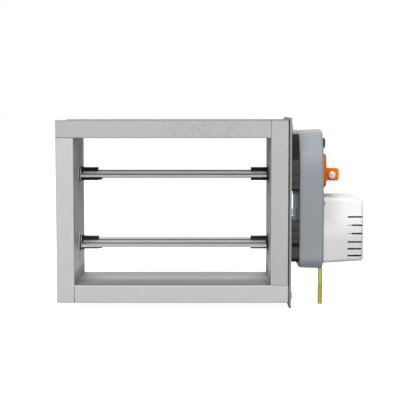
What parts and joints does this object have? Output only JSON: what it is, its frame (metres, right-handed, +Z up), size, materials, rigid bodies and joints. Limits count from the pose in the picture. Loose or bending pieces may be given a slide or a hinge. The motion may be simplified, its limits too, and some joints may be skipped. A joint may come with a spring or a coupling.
{
  "type": "rectangular damper",
  "caption": "Rectangular opposed-blade duct damper with a flanged sheet steel frame, geared blades and a side-mounted rotary actuator with spindle clamp and vented terminal cover.",
  "frame": {"origin": "centre of the duct opening, halfway through the depth of the frame", "axes": "+X from the idle side to the drive side along the blades, +Y along the air flow from the inlet to the outlet flange, +Z up"},
  "size_m": [0.3145, 0.1, 0.1942],
  "materials": {
    "galvanised_steel": "satin",
    "zinc_plated_steel": "satin",
    "blade_aluminium": "satin",
    "black_plastic": "matte",
    "bush_plastic": "matte",
    "dark_plastic": "matte",
    "gear_plastic": "matte",
    "pad_rubber": "matte",
    "foam_rubber": "matte",
    "casing_grey": "satin",
    "cover_white": "satin",
    "clamp_orange": "satin",
    "motor_metal": "satin",
    "board_green": "satin",
    "lead_yellow_green": "satin"
  },
  "bodies": {
    "frame": {"actuator_housing": "casing_grey", "actuator_rear_cover": "casing_grey", "board_spacers": "casing_grey", "button_spring": "zinc_plated_steel", "control_board": "board_green", "corner_brackets": "galvanised_steel", "drive_motor": "motor_metal", "drive_side_plate": "galvanised_steel", "frame_bottom": "galvanised_steel", "frame_left": "galvanised_steel", "frame_right": "galvanised_steel", "frame_top": "galvanised_steel", "front_lead": "lead_yellow_green", "front_lead_sleeve": "lead_yellow_green", "housing_screws": "zinc_plated_steel", "lower_drive_bush": "dark_plastic", "lower_friction_ring": "black_plastic", "lower_idle_bush": "bush_plastic", "lower_mounting_pad": "pad_rubber", "lower_plate_bush": "bush_plastic", "plate_gasket": "foam_rubber", "plate_screws": "zinc_plated_steel", "rear_lead": "lead_yellow_green", "rear_lead_sleeve": "lead_yellow_green", "reduction_axle": "zinc_plated_steel", "relay": "black_plastic", "terminal_block": "black_plastic", "terminal_cover": "cover_white", "upper_drive_bush": "dark_plastic", "upper_friction_ring": "black_plastic", "upper_idle_bush": "bush_plastic", "upper_mounting_pad": "pad_rubber", "upper_plate_bush": "bush_plastic"},
    "upper_blade_set": {"upper_blade": "blade_aluminium", "upper_blade_pins": "zinc_plated_steel", "upper_idle_adapter": "black_plastic", "upper_thrust_washer": "zinc_plated_steel", "upper_idle_clip": "zinc_plated_steel", "upper_drive_adapter": "black_plastic", "drive_spindle": "zinc_plated_steel", "upper_spindle_pin": "zinc_plated_steel", "upper_gear": "gear_plastic", "upper_gear_screw": "zinc_plated_steel", "output_gear": "gear_plastic", "spindle_clamp": "clamp_orange", "clamp_screw": "zinc_plated_steel"},
    "lower_blade_set": {"lower_blade": "blade_aluminium", "lower_blade_pins": "zinc_plated_steel", "lower_idle_adapter": "black_plastic", "lower_thrust_washer": "zinc_plated_steel", "lower_idle_clip": "zinc_plated_steel", "lower_drive_adapter": "black_plastic", "idle_spindle": "zinc_plated_steel", "lower_spindle_pin": "zinc_plated_steel", "lower_gear": "gear_plastic", "lower_gear_screw": "zinc_plated_steel"},
    "reduction_stage": {"reduction_gear": "gear_plastic"},
    "motor_rotor": {"motor_pinion": "gear_plastic"},
    "button": {"release_button": "black_plastic"}
  },
  "joints": [
    {"name": "upper_blade_turn", "type": "hinge", "parent": "frame", "child": "upper_blade_set", "pos_m": [0, 0, 0.03625], "axis": [-1, 0, 0], "range_deg": [0, 90]},
    {"name": "lower_blade_turn", "type": "hinge", "parent": "frame", "child": "lower_blade_set", "pos_m": [0, 0, -0.03625], "axis": [1, 0, 0], "range_deg": [0, 90]},
    {"name": "reduction_gear_turn", "type": "hinge", "parent": "frame", "child": "reduction_stage", "pos_m": [0.14, 0, 0.00825], "axis": [1, 0, 0], "range_deg": [0, 270]},
    {"name": "motor_pinion_turn", "type": "hinge", "parent": "frame", "child": "motor_rotor", "pos_m": [0.135, 0, -0.01575], "axis": [-1, 0, 0], "range_deg": [0, 810]},
    {"name": "release_button_press", "type": "slide", "parent": "frame", "child": "button", "axis": [-1, 0, 0], "range_m": [0, 0.0025], "stiffness_N_per_m": 400, "springref_m": -0.002, "deforming": ["button_spring"]}
  ],
  "couplings": [
    {"joint": "lower_blade_turn", "follows": "upper_blade_turn", "ratio": 1},
    {"joint": "reduction_gear_turn", "follows": "upper_blade_turn", "ratio": 3},
    {"joint": "motor_pinion_turn", "follows": "upper_blade_turn", "ratio": 9}
  ]
}
